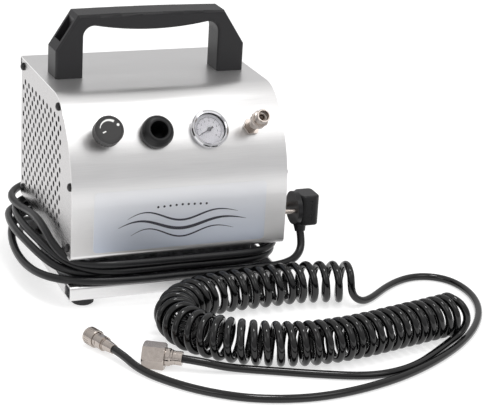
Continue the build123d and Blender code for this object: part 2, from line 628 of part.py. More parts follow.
PLUG_Y, PLUG_Z = 25.0, 77.0


def mains_plug():
    """Right-angle moulded plug: round face towards the panel, ridged grip, tapered boot below."""
    face = Pos(130.5, PLUG_Y, PLUG_Z) * Rot(0, 90, 0) * Cylinder(17, 5)
    grip = Pos(143, PLUG_Y, PLUG_Z - 0.5) * Box(20.2, 25, 32)
    grip = fillet(grip.edges().filter_by(Axis.Z), 5)
    grip = fillet(grip.faces().sort_by(Axis.X)[-1].edges(), 2)
    for i in range(5):
        for side in (-1, 1):
            grip -= Pos(144, PLUG_Y + side * 12.8, PLUG_Z - 9 + 4.5 * i) * Cylinder(1.0, 1.8, rotation=(0, 90, 0))
    top = Vector(137.2, 25.4, 62.5)
    axis = top - Vector(*LEAD_END)
    boot = Plane(origin=Vector(*LEAD_END), z_dir=axis) * Pos(0, 0, axis.length / 2) * Cone(
        CORD_D / 2 + 1.2, 7.2, axis.length)
    return face + grip + boot


def plug_pins():
    pin = turned((0, 0), (1.6, 0), (2.35, 1.2), (2.35, 16.4), (0, 16.4))
    return [Pos(111.6, PLUG_Y + y, PLUG_Z) * Rot(0, 90, 0) * pin for y in (-9.5, 9.5)]


# ---- air hose: a long coil bent round on itself, with two loose tails and their fittings ----
COIL_ROUTE = [(163, -45, 21), (125, -34, 21), (80, -36, 21), (35, -37, 21), (-5, -48, 21),
              (-30, -72, 21), (-33, -105, 21), (-12, -137, 21), (25, -160, 21), (70, -171, 21),
              (120, -167, 21), (165, -156, 21), (204, -148, 21), (227, -141.5, 21)]
SMALL_FACE, SMALL_END = (-113.0, -76.0, 8.5), (-100.0, -112.0, 8.5)
LARGE_FACE, LARGE_END = (-79.0, -133.0, 11.0), (-48.0, -151.0, 11.0)
LOW_TAIL = [
    SMALL_END, (-95, -126, 7.8), (-90, -142, 5), (-82, -159, 3.9), (-70, -177, 3.8), (-55, -195, 3.8),
    (-37, -211, 3.8), (-14, -226, 3.8), (15, -236, 3.8), (47, -240.5, 3.8), (80, -238, 3.8),
    (115, -230, 3.8), (144, -220, 3.8), (175, -205, 3.8), (208, -184.5, 3.8), (235, -163, 3.8),
    (259, -138, 3.8), (279, -108, 3.8), (290, -78, 3.8), (292, -51, 3.8), (286, -28, 3.8),
    (270, -14.5, 3.8), (250, -12.5, 3.8), (230, -20, 3.8), (212, -31.5, 3.8), (198, -43, 3.8),
    (186, -52.5, 3.8), (175, -58.5, 4.4), (165.5, -61.5, 9), (159.5, -61.8, 17), (157.5, -61.4, 24.5)]
HIGH_TAIL = [
    (225.5, -141.8, 38.2), (231, -149.3, 35.9), (235.2, -154.6, 29.6), (237.4, -156.6, 21),
    (234.8, -157.4, 12.4), (227, -159.5, 6), (216, -165.5, 3.9), (202, -176, 3.8), (184, -189, 3.8),
    (166, -201, 3.8), (145, -210, 3.8), (121, -214, 3.8), (99, -211, 3.8), (76, -202.5, 3.8),
    (54, -193.5, 3.8), (31, -183, 3.8), (6, -172.5, 4), (-14, -167, 6.2), (-32, -160, 10), LARGE_END]


def between(start, end):
    """The plane at start whose Z points to end, and the distance."""
    way = Vector(*end) - Vector(*start)
    return Plane(origin=Vector(*start), x_dir=(0, 0, 1), z_dir=way), way.length


def small_fitting_parts():
    plane, length = between(SMALL_FACE, SMALL_END)
    tail = turned((0, length), (4.4, length), (5.6, 26.5), (6.0, 26.5), (6.0, 24.5), (6.9, 24.5),
                  (6.9, 13.0), (5.0, 13.0), (5.0, 5.0), (2.2, 5.0), (2.2, 12), (0, 12))
    for i in range(4):
        tail -= Rot(0, 0, 90 * i) * Pos(7.6, 0, 19) * Box(2.4, 5, 5)
    nut = turned((5.1, 12.8), (7.6, 12.8), (8.5, 11.8), (8.5, 1.2), (7.9, 0), (6.2, 0), (6.2, 4.6),
                 (5.1, 4.9))
    for i in range(24):
        nut -= Rot(0, 0, 15 * i) * Pos(8.6, 0, 6.5) * Box(0.7, 0.9, 6)
    return [plane * p for p in (tail, nut)]


def large_fitting_parts():
    plane, length = between(LARGE_FACE, LARGE_END)
    tail = turned((0, length), (6.5, length), (6.5, 27.5), (7.2, 27.0), (7.2, 25.6), (8.2, 24.6),
                  (8.2, 20.6), (6.0, 20.6), (6.0, 9), (4.2, 6.5), (2.4, 6.5), (2.4, 14), (0, 14))
    tail -= ring(8, 6.1, 29.6, 30.4)
    nut = hexagon(22, 0, 20.4) - rod(6.1, -1, 22)
    nut -= rod(9.2, -1, 13.5)
    nut &= turned((0, -0.1), (11.6, -0.1), (12.9, 1.6), (12.9, 18.8), (11.6, 20.5), (0, 20.5))
    nut = Rot(0, 0, 30) * nut
    return [plane * p for p in (tail, nut)]


for name, route, diameter in [("lead", LEAD_ROUTE, CORD_D), ("coil", COIL_ROUTE, COIL_D),
                              ("low tail", LOW_TAIL, HOSE_D), ("high tail", HIGH_TAIL, HOSE_D)]:
    print(name, "radii", [round(r) for r in corner_radii(route)])

save("cover_shell", cover_shell())
save("side_panel_left", side_panel(-1))
save("side_panel_right", side_panel(1))
save("panel_screws", *panel_screws())
save("panel_brackets", *panel_brackets())
save("chassis_plate", chassis_plate())
save("rear_panel", rear_panel())
save("rear_screws", *rear_screws())
save("plinth_wall", plinth_wall())
save("base_tray", base_tray())
save("rubber_feet", *rubber_feet())
save("foot_screws", *foot_screws())
save("label_plate", label_plate())
save("carry_handle", carry_handle())
save("handle_screws", *handle_screws())
for node, shape in zip(("body", "nut", "spindle", "knob"), regulator_parts()):
    save(f"regulator_{node}", shape)
for node, shape in zip(("cup", "clip"), holder_parts()):
    save(f"holder_{node}", shape)
for node, shape in zip(("case", "bezel", "dial", "needle", "lens", "stem", "clamp"), gauge_parts()):
    save(f"gauge_{node}", shape)
fitting, front_nut, back_nut, collar = outlet_parts()
save("outlet_fitting", fitting)
save("outlet_nuts", front_nut, back_nut)
save("outlet_collar", collar)
save("pump_frame", pump_frame())
save("coil_cores", *coil_cores())
save("pump_coils", *pump_coils())
save("pump_piston", piston())
save("piston_ring", piston_ring())
for node, shape in zip(("left", "right"), springs()):
    save(f"spring_{node}", shape)
save("pump_cylinder", pump_cylinder())
save("cylinder_head", cylinder_head())
save("head_screws", *head_screws())
save("intake_filter", intake_filter())
save("rubber_mounts", *rubber_mounts())
save("mount_screws", *mount_screws())
save("air_manifold", air_manifold())
save("air_tubes", *air_tubes())
save("rocker_frame", rocker_frame())
save("rocker_button", rocker_button())
save("terminal_block", terminal_block())
save("cord_gland", cord_gland())
save("mains_lead", tube(LEAD_ROUTE, CORD_D))
save("mains_plug", mains_plug())
save("plug_pins", *plug_pins())
save("hose_coil", tube(COIL_ROUTE, COIL_D))
save("hose_tail_low", tube(LOW_TAIL, HOSE_D))
save("hose_tail_high", tube(HIGH_TAIL, HOSE_D))
for node, shape in zip(("fitting", "nut"), small_fitting_parts()):
    save(f"small_{node}", shape)
for node, shape in zip(("fitting", "nut"), large_fitting_parts()):
    save(f"large_{node}", shape)
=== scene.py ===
"""An airbrush compressor with its wound mains lead and coiled air hose, dressed over its solid model.

The solid model gives every rigid piece. This add-on gives each of them its finish, adds the
printed marks, the springs, the lead and the hose, and sets the studio.
"""
import math

import bmesh
import bpy
from bpy.props import FloatProperty, FloatVectorProperty, IntProperty, PointerProperty
from mathutils import Matrix, Vector


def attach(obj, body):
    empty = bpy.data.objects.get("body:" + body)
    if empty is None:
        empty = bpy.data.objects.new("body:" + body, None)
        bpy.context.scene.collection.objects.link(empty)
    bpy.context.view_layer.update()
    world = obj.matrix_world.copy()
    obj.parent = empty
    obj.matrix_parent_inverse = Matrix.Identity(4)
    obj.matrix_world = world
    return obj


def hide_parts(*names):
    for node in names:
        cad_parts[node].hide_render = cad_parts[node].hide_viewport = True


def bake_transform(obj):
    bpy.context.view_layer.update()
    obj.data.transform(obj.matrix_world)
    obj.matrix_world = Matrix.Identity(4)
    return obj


bl_info = {
    "name": "Airbrush Compressor",
    "version": (1, 0, 0),
    "blender": (4, 5, 0),
    "location": "View3D > Sidebar > Compressor",
    "description": "Finishes, lead, hose and studio of a small airbrush compressor",
    "category": "Object",
}

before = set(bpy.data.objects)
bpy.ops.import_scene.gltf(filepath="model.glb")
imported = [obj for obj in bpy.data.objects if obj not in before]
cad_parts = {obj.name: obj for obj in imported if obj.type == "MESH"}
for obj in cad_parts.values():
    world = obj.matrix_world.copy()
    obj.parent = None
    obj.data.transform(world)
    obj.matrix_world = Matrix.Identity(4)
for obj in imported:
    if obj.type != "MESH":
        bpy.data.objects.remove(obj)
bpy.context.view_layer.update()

# Where the front of the cover stands in the frame, and the tilt of the controls on its curve.
FRONT_Y = -0.09272
CONTROL_LEAN = math.radians(34.7)
CURVE_RADIUS = 0.112
CURVE_START_Z = 0.1035
KNOB_X, GAUGE_X = -0.075, 0.0315
KNOB_FACE = 0.0241
DIAL_FACE = 0.0012
LEAD_DIAMETER = 0.008
HOSE_DIAMETER = 0.0075
# A spline through this many points a turn runs inside them, so they stand a little further out.
POINTS_PER_TURN = 14
COIL_FIRST_ANGLE, COIL_LAST_ANGLE = 40.0, 66.0
SPRING_RADIUS, SPRING_WIRE, SPRING_TURNS = 0.0098, 0.002, 5
# Angle of the needle at no pressure and the whole sweep of the scale, in degrees.
SCALE_ZERO, SCALE_SWEEP = 207.0, 250.0
CAMERA_PLACE = (-0.5274, -1.53202, 0.6659)
CAMERA_TURN, CAMERA_RISE, CAMERA_ROLL = -22.351, 20.123, 3.335
CAMERA_LENS, CAMERA_SENSOR = 124.75, 36.0
LIGHT_AIM = Vector((0.05, -0.1, 0.08))

# Routes of the lead and the hose: the same points that their tubes in the model follow.
LEAD_ROUTE = [
    (0.068, 0.1315, 0.066), (0.068, 0.1543, 0.065), (0.056, 0.1723, 0.063), (0.032, 0.1803, 0.061),
    (0.004, 0.1753, 0.059), (-0.024, 0.1573, 0.0575), (-0.054, 0.1383, 0.0565), (-0.09, 0.1263, 0.055),
    (-0.112, 0.1138, 0.0535), (-0.124, 0.0923, 0.0525), (-0.122, 0.0633, 0.0525),
    (-0.1185, 0.0353, 0.056), (-0.118, 0.0053, 0.0605), (-0.1178, -0.0247, 0.0595),
    (-0.1158, -0.0527, 0.051), (-0.106, -0.0777, 0.0438), (-0.082, -0.0917, 0.0435),
    (-0.04, -0.0937, 0.0437), (0.002, -0.0927, 0.0433), (0.042, -0.0942, 0.0437),
    (0.08, -0.0937, 0.0435), (0.101, -0.0817, 0.0433), (0.113, -0.0607, 0.0433),
    (0.1145, -0.0127, 0.043), (0.1125, 0.0333, 0.0436), (0.113, 0.0783, 0.0433),
    (0.101, 0.0993, 0.0434), (0.08, 0.1113, 0.0435), (0.038, 0.1133, 0.0434), (-0.006, 0.1118, 0.0438),
    (-0.048, 0.1143, 0.044), (-0.088, 0.1133, 0.044), (-0.109, 0.1033, 0.044),
    (-0.121, 0.0823, 0.0445), (-0.126, 0.0533, 0.046), (-0.127, 0.0213, 0.047),
    (-0.124, -0.0107, 0.047), (-0.119, -0.0397, 0.045), (-0.111, -0.0637, 0.041),
    (-0.0945, -0.0822, 0.0375), (-0.0715, -0.0917, 0.0355), (-0.032, -0.0922, 0.0354),
    (0.006, -0.0912, 0.0356), (0.044, -0.0922, 0.0353), (0.079, -0.0917, 0.0354),
    (0.0996, -0.0797, 0.0352), (0.1115, -0.0587, 0.035), (0.1135, -0.0127, 0.0348),
    (0.1115, 0.0333, 0.0352), (0.112, 0.0783, 0.0353), (0.1, 0.0989, 0.0355), (0.0795, 0.1108, 0.0356),
    (0.038, 0.1128, 0.0354), (-0.008, 0.1118, 0.0359), (-0.05, 0.1133, 0.036), (-0.09, 0.1143, 0.036),
    (-0.1125, 0.1068, 0.0362), (-0.127, 0.0873, 0.038), (-0.133, 0.0573, 0.04),
    (-0.1345, 0.0233, 0.041), (-0.1315, -0.0087, 0.041), (-0.126, -0.0397, 0.0385),
    (-0.116, -0.0657, 0.0345), (-0.098, -0.0817, 0.032), (-0.072, -0.0842, 0.031),
    (-0.032, -0.0832, 0.0311), (0.006, -0.0839, 0.0309), (0.044, -0.0827, 0.031),
    (0.078, -0.0827, 0.0305), (0.099, -0.0727, 0.0285), (0.111, -0.0527, 0.0276),
    (0.1128, -0.0087, 0.0274), (0.111, 0.0353, 0.0272), (0.112, 0.0793, 0.0272),
    (0.1015, 0.1003, 0.0278), (0.081, 0.1123, 0.0278), (0.04, 0.1143, 0.0276), (-0.006, 0.1128, 0.028),
    (-0.05, 0.1143, 0.0283), (-0.09, 0.1143, 0.0284), (-0.113, 0.1003, 0.028),
    (-0.127, 0.0733, 0.0255), (-0.134, 0.0413, 0.023), (-0.137, 0.0093, 0.022),
    (-0.136, -0.0227, 0.022), (-0.131, -0.0527, 0.0245), (-0.119, -0.0767, 0.0272),
    (-0.1, -0.0895, 0.0282), (-0.072, -0.0957, 0.028), (-0.034, -0.0972, 0.0278),
    (0.006, -0.0959, 0.0279), (0.046, -0.0977, 0.0278), (0.08, -0.0972, 0.028),
    (0.103, -0.0967, 0.028), (0.121, -0.0917, 0.0295), (0.132, -0.0842, 0.034),
    (0.137, -0.0772, 0.042), (0.1368, -0.0717, 0.0524),
]

COIL_ROUTE = [
    (0.163, -0.1377, 0.021), (0.125, -0.1267, 0.021), (0.08, -0.1287, 0.021), (0.035, -0.1297, 0.021),
    (-0.005, -0.1407, 0.021), (-0.03, -0.1647, 0.021), (-0.033, -0.1977, 0.021),
    (-0.012, -0.2297, 0.021), (0.025, -0.2527, 0.021), (0.07, -0.2637, 0.021), (0.12, -0.2597, 0.021),
    (0.165, -0.2487, 0.021), (0.204, -0.2407, 0.021), (0.227, -0.2342, 0.021),
]

LOW_TAIL = [
    (-0.1, -0.2047, 0.0085), (-0.095, -0.2187, 0.0078), (-0.09, -0.2347, 0.005),
    (-0.082, -0.2517, 0.0039), (-0.07, -0.2697, 0.0038), (-0.055, -0.2877, 0.0038),
    (-0.037, -0.3037, 0.0038), (-0.014, -0.3187, 0.0038), (0.015, -0.3287, 0.0038),
    (0.047, -0.3332, 0.0038), (0.08, -0.3307, 0.0038), (0.115, -0.3227, 0.0038),
    (0.144, -0.3127, 0.0038), (0.175, -0.2977, 0.0038), (0.208, -0.2772, 0.0038),
    (0.235, -0.2557, 0.0038), (0.259, -0.2307, 0.0038), (0.279, -0.2007, 0.0038),
    (0.29, -0.1707, 0.0038), (0.292, -0.1437, 0.0038), (0.286, -0.1207, 0.0038),
    (0.27, -0.1072, 0.0038), (0.25, -0.1052, 0.0038), (0.23, -0.1127, 0.0038),
    (0.212, -0.1242, 0.0038), (0.198, -0.1357, 0.0038), (0.186, -0.1452, 0.0038),
    (0.175, -0.1512, 0.0044), (0.1655, -0.1542, 0.009), (0.1595, -0.1545, 0.017),
    (0.1575, -0.1541, 0.0245),
]

HIGH_TAIL = [
    (0.2255, -0.2345, 0.0382), (0.231, -0.242, 0.0359), (0.2352, -0.2473, 0.0296),
    (0.2374, -0.2493, 0.021), (0.2348, -0.2501, 0.0124), (0.227, -0.2522, 0.006),
    (0.216, -0.2582, 0.0039), (0.202, -0.2687, 0.0038), (0.184, -0.2817, 0.0038),
    (0.166, -0.2937, 0.0038), (0.145, -0.3027, 0.0038), (0.121, -0.3067, 0.0038),
    (0.099, -0.3037, 0.0038), (0.076, -0.2952, 0.0038), (0.054, -0.2862, 0.0038),
    (0.031, -0.2757, 0.0038), (0.006, -0.2652, 0.004), (-0.014, -0.2597, 0.0062),
    (-0.032, -0.2527, 0.01), (-0.048, -0.2437, 0.011),
]


def control_matrix(x):
    """Places a drawing on the control at x: its Z points straight out of the cover."""
    lean = CONTROL_LEAN
    origin = Vector((x, FRONT_Y + CURVE_RADIUS * (1 - math.cos(lean)),
                     CURVE_START_Z + CURVE_RADIUS * math.sin(lean)))
    out = Vector((0, -math.cos(lean), math.sin(lean)))
    across = Vector((1, 0, 0))
    up = out.cross(across)
    return Matrix.Translation(origin) @ Matrix((across, up, out)).transposed().to_4x4()


# ---- finishes ----
def surface(name, colour, roughness, metallic=0.0, stretch=(60, 60, 60), colour_spread=0.06,
            rough_spread=0.08, bump=0.05, bump_size=0.0003, coat=0.0, coat_roughness=0.1,
            detail=4.0, specular=0.5, anisotropic=0.0):
    """A finish whose colour, gloss and relief all vary with one stretched noise."""
    made = bpy.data.materials.new(name)
    made.use_nodes = True
    nodes, links = made.node_tree.nodes, made.node_tree.links
    shader = nodes["Principled BSDF"]
    shader.inputs["Metallic"].default_value = metallic
    shader.inputs["Specular IOR Level"].default_value = specular
    shader.inputs["Coat Weight"].default_value = coat
    shader.inputs["Coat Roughness"].default_value = coat_roughness
    shader.inputs["Anisotropic"].default_value = anisotropic
    place = nodes.new("ShaderNodeTexCoord")
    mapping = nodes.new("ShaderNodeMapping")
    mapping.inputs["Scale"].default_value = stretch
    links.new(place.outputs["Object"], mapping.inputs["Vector"])
    grain = nodes.new("ShaderNodeTexNoise")
    grain.inputs["Scale"].default_value = 10.0
    grain.inputs["Detail"].default_value = detail
    links.new(mapping.outputs["Vector"], grain.inputs["Vector"])
    tone = nodes.new("ShaderNodeValToRGB")
    dark = [c * (1 - colour_spread) for c in colour]
    light = [min(1.0, c * (1 + colour_spread)) for c in colour]
    tone.color_ramp.elements[0].position = 0.3
    tone.color_ramp.elements[0].color = (*dark, 1)
    tone.color_ramp.elements[1].position = 0.7
    tone.color_ramp.elements[1].color = (*light, 1)
    links.new(grain.outputs["Fac"], tone.inputs["Fac"])
    links.new(tone.outputs["Color"], shader.inputs["Base Color"])
    gloss = nodes.new("ShaderNodeMapRange")
    gloss.inputs["From Min"].default_value = 0.3
    gloss.inputs["From Max"].default_value = 0.7
    gloss.inputs["To Min"].default_value = max(0.02, roughness - rough_spread)
    gloss.inputs["To Max"].default_value = min(1.0, roughness + rough_spread)
    links.new(grain.outputs["Fac"], gloss.inputs["Value"])
    links.new(gloss.outputs["Result"], shader.inputs["Roughness"])
    relief = nodes.new("ShaderNodeBump")
    relief.inputs["Strength"].default_value = bump
    relief.inputs["Distance"].default_value = bump_size
    links.new(grain.outputs["Fac"], relief.inputs["Height"])
    links.new(relief.outputs["Normal"], shader.inputs["Normal"])
    return made


def tinted_foil(name, high, low):
    """Foil that goes from one tint at the top of the plate to another at its foot."""
    made = surface(name, high, 0.34, metallic=0.75, stretch=(4, 300, 300), colour_spread=0.03,
                   rough_spread=0.05, bump=0.03)
    nodes, links = made.node_tree.nodes, made.node_tree.links
    place = nodes.new("ShaderNodeTexCoord")
    split = nodes.new("ShaderNodeSeparateXYZ")
    links.new(place.outputs["Object"], split.inputs["Vector"])
    height = nodes.new("ShaderNodeMapRange")
    height.inputs["From Min"].default_value = 0.058
    height.inputs["From Max"].default_value = 0.116
    links.new(split.outputs["Z"], height.inputs["Value"])
    blend = nodes.new("ShaderNodeValToRGB")
    blend.color_ramp.elements[0].color = (*low, 1)
    blend.color_ramp.elements[1].color = (*high, 1)
    links.new(height.outputs["Result"], blend.inputs["Fac"])
    links.new(blend.outputs["Color"], nodes["Principled BSDF"].inputs["Base Color"])
    return made


def clear_glass(name):
    made = surface(name, (1, 1, 1), 0.03, colour_spread=0.0, rough_spread=0.01, bump=0.0)
    shader = made.node_tree.nodes["Principled BSDF"]
    shader.inputs["Transmission Weight"].default_value = 1.0
    shader.inputs["IOR"].default_value = 1.25
    return made


def dress(material, *names):
    """Puts a finish on nodes of the solid model."""
    for name in names:
        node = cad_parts[name]
        if not node.material_slots:
            node.data.materials.append(material)
        for held in node.material_slots:
            held.material = material


# ---- pieces ----
def place_piece(name, data, material, body="housing"):
    """A new piece that rides on a body and has one finish and one slot."""
    piece = bpy.data.objects.new(name, data)
    bpy.context.scene.collection.objects.link(piece)
    data.materials.append(material)
    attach(piece, body)
    return piece


def round_line(name, points, diameter, steps=6, sides=4):
    """A round cord on one smooth spline with these control points."""
    data = bpy.data.curves.new(name, "CURVE")
    data.dimensions = "3D"
    data.resolution_u = steps
    data.bevel_depth = diameter / 2
    data.bevel_resolution = sides
    data.use_fill_caps = True
    spline = data.splines.new("NURBS")
    spline.points.add(len(points) - 1)
    for point, place in zip(spline.points, points):
        point.co = (*place, 1)
    spline.order_u = 3
    spline.use_endpoint_u = True
    return data


def curve_mesh(data):
    """The mesh of a curve, with the curve itself cleared away."""
    carrier = bpy.data.objects.new("carrier", data)
    bpy.context.scene.collection.objects.link(carrier)
    mesh = bpy.data.meshes.new_from_object(carrier)
    bpy.data.objects.remove(carrier)
    return mesh


def line_points(points, steps=12):
    """Points along the smooth spline through a route."""
    mesh = curve_mesh(round_line("route", points, 0.0, steps))
    found = [v.co.copy() for v in mesh.vertices]
    bpy.data.meshes.remove(mesh)
    return found


def coil_points(axis_route, first_turn, last_turn, per_turn, radius):
    """Control points of a helix round the route, from one angle to another, in degrees."""
    axis = line_points(axis_route)
    reach = [0.0]
    for a, b in zip(axis, axis[1:]):
        reach.append(reach[-1] + (b - a).length)
    length = reach[-1]
    count = int(round((last_turn - first_turn) / 360 * per_turn))
    out = []
    at = 0
    for i in range(count + 1):
        share = i / count
        # the turns stand wider apart on the first limb than on the second
        along = length * (share + 0.055 * math.sin(math.pi * share) * (1 - share * 0.4))
        along = min(max(along, 0.0), length)
        while at < len(reach) - 2 and reach[at + 1] < along:
            at += 1
        part = (along - reach[at]) / max(reach[at + 1] - reach[at], 1e-9)
        centre = axis[at].lerp(axis[at + 1], part)
        ahead = (axis[min(at + 2, len(axis) - 1)] - axis[max(at - 1, 0)]).normalized()
        inward = Vector((0, 0, 1)).cross(ahead).normalized()
        angle = math.radians(first_turn + (last_turn - first_turn) * share)
        wide = radius * (1 + 0.018 * math.sin(angle * 0.37) - 0.012)
        out.append(centre + inward * (wide * math.cos(angle))
                   + Vector((0, 0, radius * math.sin(angle))))
    return out


def flat_mesh(name, outlines, matrix, thickness):
    """Thin raised marks from flat outlines in metres, placed by a matrix."""
    work = bmesh.new()
    for outline in outlines:
        face = work.faces.new([work.verts.new((x, y, 0)) for x, y in outline])
        lifted = bmesh.ops.extrude_face_region(work, geom=[face])["geom"]
        moved = [g for g in lifted if isinstance(g, bmesh.types.BMVert)]
        bmesh.ops.translate(work, verts=moved, vec=(0, 0, thickness))
    bmesh.ops.recalc_face_normals(work, faces=work.faces)
    work.transform(matrix)
    data = bpy.data.meshes.new(name)
    work.to_mesh(data)
    work.free()
    return data


def arc_band(radius, start, end, thin, thick, steps=28):
    """An arc between two angles, in degrees, that swells from thin to thick."""
    outer, inner = [], []
    for i in range(steps + 1):
        share = i / steps
        angle = math.radians(start + (end - start) * share)
        half = (thin + (thick - thin) * share) / 2
        outer.append(((radius + half) * math.cos(angle), (radius + half) * math.sin(angle)))
        inner.append(((radius - half) * math.cos(angle), (radius - half) * math.sin(angle)))
    return outer + inner[::-1]


def bar(radius_in, radius_out, angle, width):
    """A short straight mark on a dial, pointing at the centre."""
    turn = math.radians(angle)
    ray, side = (math.cos(turn), math.sin(turn)), (-math.sin(turn), math.cos(turn))
    corners = [(radius_in, -width / 2), (radius_out, -width / 2), (radius_out, width / 2),
               (radius_in, width / 2)]
    return [(r * ray[0] + w * side[0], r * ray[1] + w * side[1]) for r, w in corners]


def disc(x, y, radius, sides=20):
    return [(x + radius * math.cos(math.tau * i / sides), y + radius * math.sin(math.tau * i / sides))
            for i in range(sides)]


def ribbon(points, widths):
    """A flat stroke along points, with a width at each."""
    left, right = [], []
    for i, (x, y) in enumerate(points):
        x0, y0 = points[max(i - 1, 0)]
        x1, y1 = points[min(i + 1, len(points) - 1)]
        size = math.hypot(x1 - x0, y1 - y0)
        nx, ny = -(y1 - y0) / size, (x1 - x0) / size
        left.append((x + nx * widths[i] / 2, y + ny * widths[i] / 2))
        right.append((x - nx * widths[i] / 2, y - ny * widths[i] / 2))
    return left + right[::-1]


# ---- settings ----
class CompressorCase(bpy.types.PropertyGroup):
    """Sizes and colours of the case and its controls."""
    metal: FloatVectorProperty(name="Case metal", description="Colour of the satin case",
                               subtype="COLOR", default=(0.77, 0.765, 0.765), min=0, max=1)
    metal_roughness: FloatProperty(name="Case roughness", description="How dull the satin metal is",
                               subtype="FACTOR", default=0.36, min=0.05, max=0.9)
    plastic: FloatVectorProperty(name="Handle plastic", description="Colour of the carry handle",
                                 subtype="COLOR", default=(0.012, 0.0115, 0.013), min=0, max=1)
    knob: FloatVectorProperty(name="Knob plastic", description="Colour of the regulator knob",
                              subtype="COLOR", default=(0.030, 0.029, 0.029), min=0, max=1)
    dial_ticks: IntProperty(name="Dial steps", description="Long marks on the pressure scale",
                            default=8, min=4, max=12)


class CompressorCords(bpy.types.PropertyGroup):
    """Sizes and colours of the lead and the hose."""
    lead: FloatVectorProperty(name="Lead sheath", description="Colour of the mains lead",
                              subtype="COLOR", default=(0.005, 0.005, 0.006), min=0, max=1)
    hose: FloatVectorProperty(name="Air hose", description="Colour of the air hose",
                              subtype="COLOR", default=(0.0015, 0.0015, 0.0018), min=0, max=1)
    coil_radius: FloatProperty(name="Coil radius", description="Middle of the hose to the coil's axis",
                               subtype="DISTANCE", unit="LENGTH", default=0.01725, min=0.01, max=0.02)
    coil_turns: IntProperty(name="Coil turns", description="Whole turns of the coiled hose",
                            default=46, min=20, max=60)


class CompressorStage(bpy.types.PropertyGroup):
    """The studio round the compressor."""
    floor: FloatVectorProperty(name="Floor", description="Colour of the floor",
                               subtype="COLOR", default=(0.55, 0.55, 0.55), min=0, max=1)
    sky: FloatProperty(name="Room light", description="Strength of the even light of the room",
                       default=0.9, min=0, max=5)
    key: FloatProperty(name="Key light", description="Power of the main soft light",
                       subtype="POWER", default=5.0, min=0, max=500)


# ---- operators ----
class OBJECT_OT_case_metal(bpy.types.Operator):
    """Satin cover and tray, bright perforated sides, plain inner sheet and the foil plate"""
    bl_idname = "compressor.case_metal"
    bl_label = "Case Metal"

    def execute(self, context):
        case = context.scene.compressor_case
        satin = surface("satin_steel", case.metal, case.metal_roughness, metallic=0.96,
                        stretch=(3, 260, 260), colour_spread=0.035, rough_spread=0.05, bump=0.06,
                        bump_size=0.0002, anisotropic=0.35)
        dress(satin, "cover_shell", "base_tray")
        bright = surface("bright_sheet", (0.50, 0.49, 0.49), 0.26, metallic=1.0,
                         stretch=(200, 3, 200), colour_spread=0.03, rough_spread=0.05, bump=0.05,
                         bump_size=0.0002)
        dress(bright, "side_panel_left", "side_panel_right")
        plain = surface("zinc_sheet", (0.50, 0.51, 0.53), 0.42, metallic=0.9, stretch=(22, 22, 22),
                        colour_spread=0.22, rough_spread=0.12, bump=0.04)
        dress(plain, "chassis_plate", "plinth_wall", "panel_brackets", "gauge_clamp")
        rear = surface("rear_steel", (0.66, 0.66, 0.67), 0.38, metallic=0.92,
                       stretch=(3, 240, 240), colour_spread=0.05, bump=0.06)
        dress(rear, "rear_panel")
        dress(tinted_foil("label_foil", (0.76, 0.765, 0.785), (0.62, 0.67, 0.77)), "label_plate")
        return {"FINISHED"}


class OBJECT_OT_case_hardware(bpy.types.Operator):
    """Black screws, feet, handle, switch and the rest of the moulded case pieces"""
    bl_idname = "compressor.case_hardware"
    bl_label = "Case Hardware"

    def execute(self, context):
        case = context.scene.compressor_case
        black_screw = surface("black_oxide", (0.022, 0.021, 0.022), 0.30, metallic=0.6,
                              stretch=(90, 90, 90), colour_spread=0.25, bump=0.12)
        dress(black_screw, "panel_screws", "rear_screws", "handle_screws", "head_screws",
              "foot_screws", "mount_screws")
        handle = surface("handle_plastic", case.plastic, 0.42, stretch=(170, 170, 170),
                         colour_spread=0.12, rough_spread=0.06, bump=0.2, bump_size=0.0003,
                         specular=0.36)
        dress(handle, "carry_handle")
        rubber = surface("soft_rubber", (0.014, 0.014, 0.015), 0.66, stretch=(120, 120, 120),
                         colour_spread=0.2, bump=0.2)
        dress(rubber, "rubber_feet", "rubber_mounts", "cord_gland")
        moulding = surface("black_moulding", (0.016, 0.016, 0.018), 0.38, stretch=(130, 130, 130),
                           colour_spread=0.15, bump=0.15, coat=0.1, coat_roughness=0.25)
        dress(moulding, "rocker_frame", "rocker_button", "terminal_block", "holder_clip",
              "intake_filter")
        return {"FINISHED"}


class OBJECT_OT_controls(bpy.types.Operator):
    """Knob, rubber cup, gauge and outlet on the front curve"""
    bl_idname = "compressor.controls"
    bl_label = "Controls"

    def execute(self, context):
        case = context.scene.compressor_case
        knob = surface("knob_plastic", case.knob, 0.42, stretch=(150, 150, 150), colour_spread=0.08,
                       rough_spread=0.06, bump=0.14, specular=0.4)
        dress(knob, "regulator_knob")
        cup = surface("cup_rubber", (0.004, 0.004, 0.0045), 0.34, stretch=(100, 100, 100),
                      colour_spread=0.15, rough_spread=0.06, bump=0.06, specular=0.35)
        dress(cup, "holder_cup")
        chrome = surface("gauge_chrome", (0.66, 0.66, 0.68), 0.10, metallic=1.0,
                         stretch=(30, 30, 30), colour_spread=0.02, rough_spread=0.03, bump=0.01)
        dress(chrome, "gauge_bezel")
        nickel = surface("nickel_plate", (0.47, 0.42, 0.385), 0.22, metallic=1.0,
                         stretch=(24, 24, 24), colour_spread=0.05, rough_spread=0.04, bump=0.01)
        dress(nickel, "outlet_fitting", "outlet_collar", "outlet_nuts", "regulator_nut",
              "regulator_spindle", "gauge_stem", "small_fitting", "small_nut", "large_fitting",
              "large_nut", "plug_pins")
        dress(surface("gauge_case_black", (0.02, 0.02, 0.022), 0.4, stretch=(90, 90, 90), bump=0.08),
              "gauge_case")
        dress(surface("dial_paper", (0.80, 0.79, 0.84), 0.5, stretch=(40, 40, 40),
                      colour_spread=0.02, bump=0.02), "gauge_dial")
        dress(surface("needle_paint", (0.11, 0.11, 0.125), 0.4, stretch=(90, 90, 90), bump=0.03),
              "gauge_needle")
        dress(clear_glass("gauge_glass"), "gauge_lens")
        return {"FINISHED"}


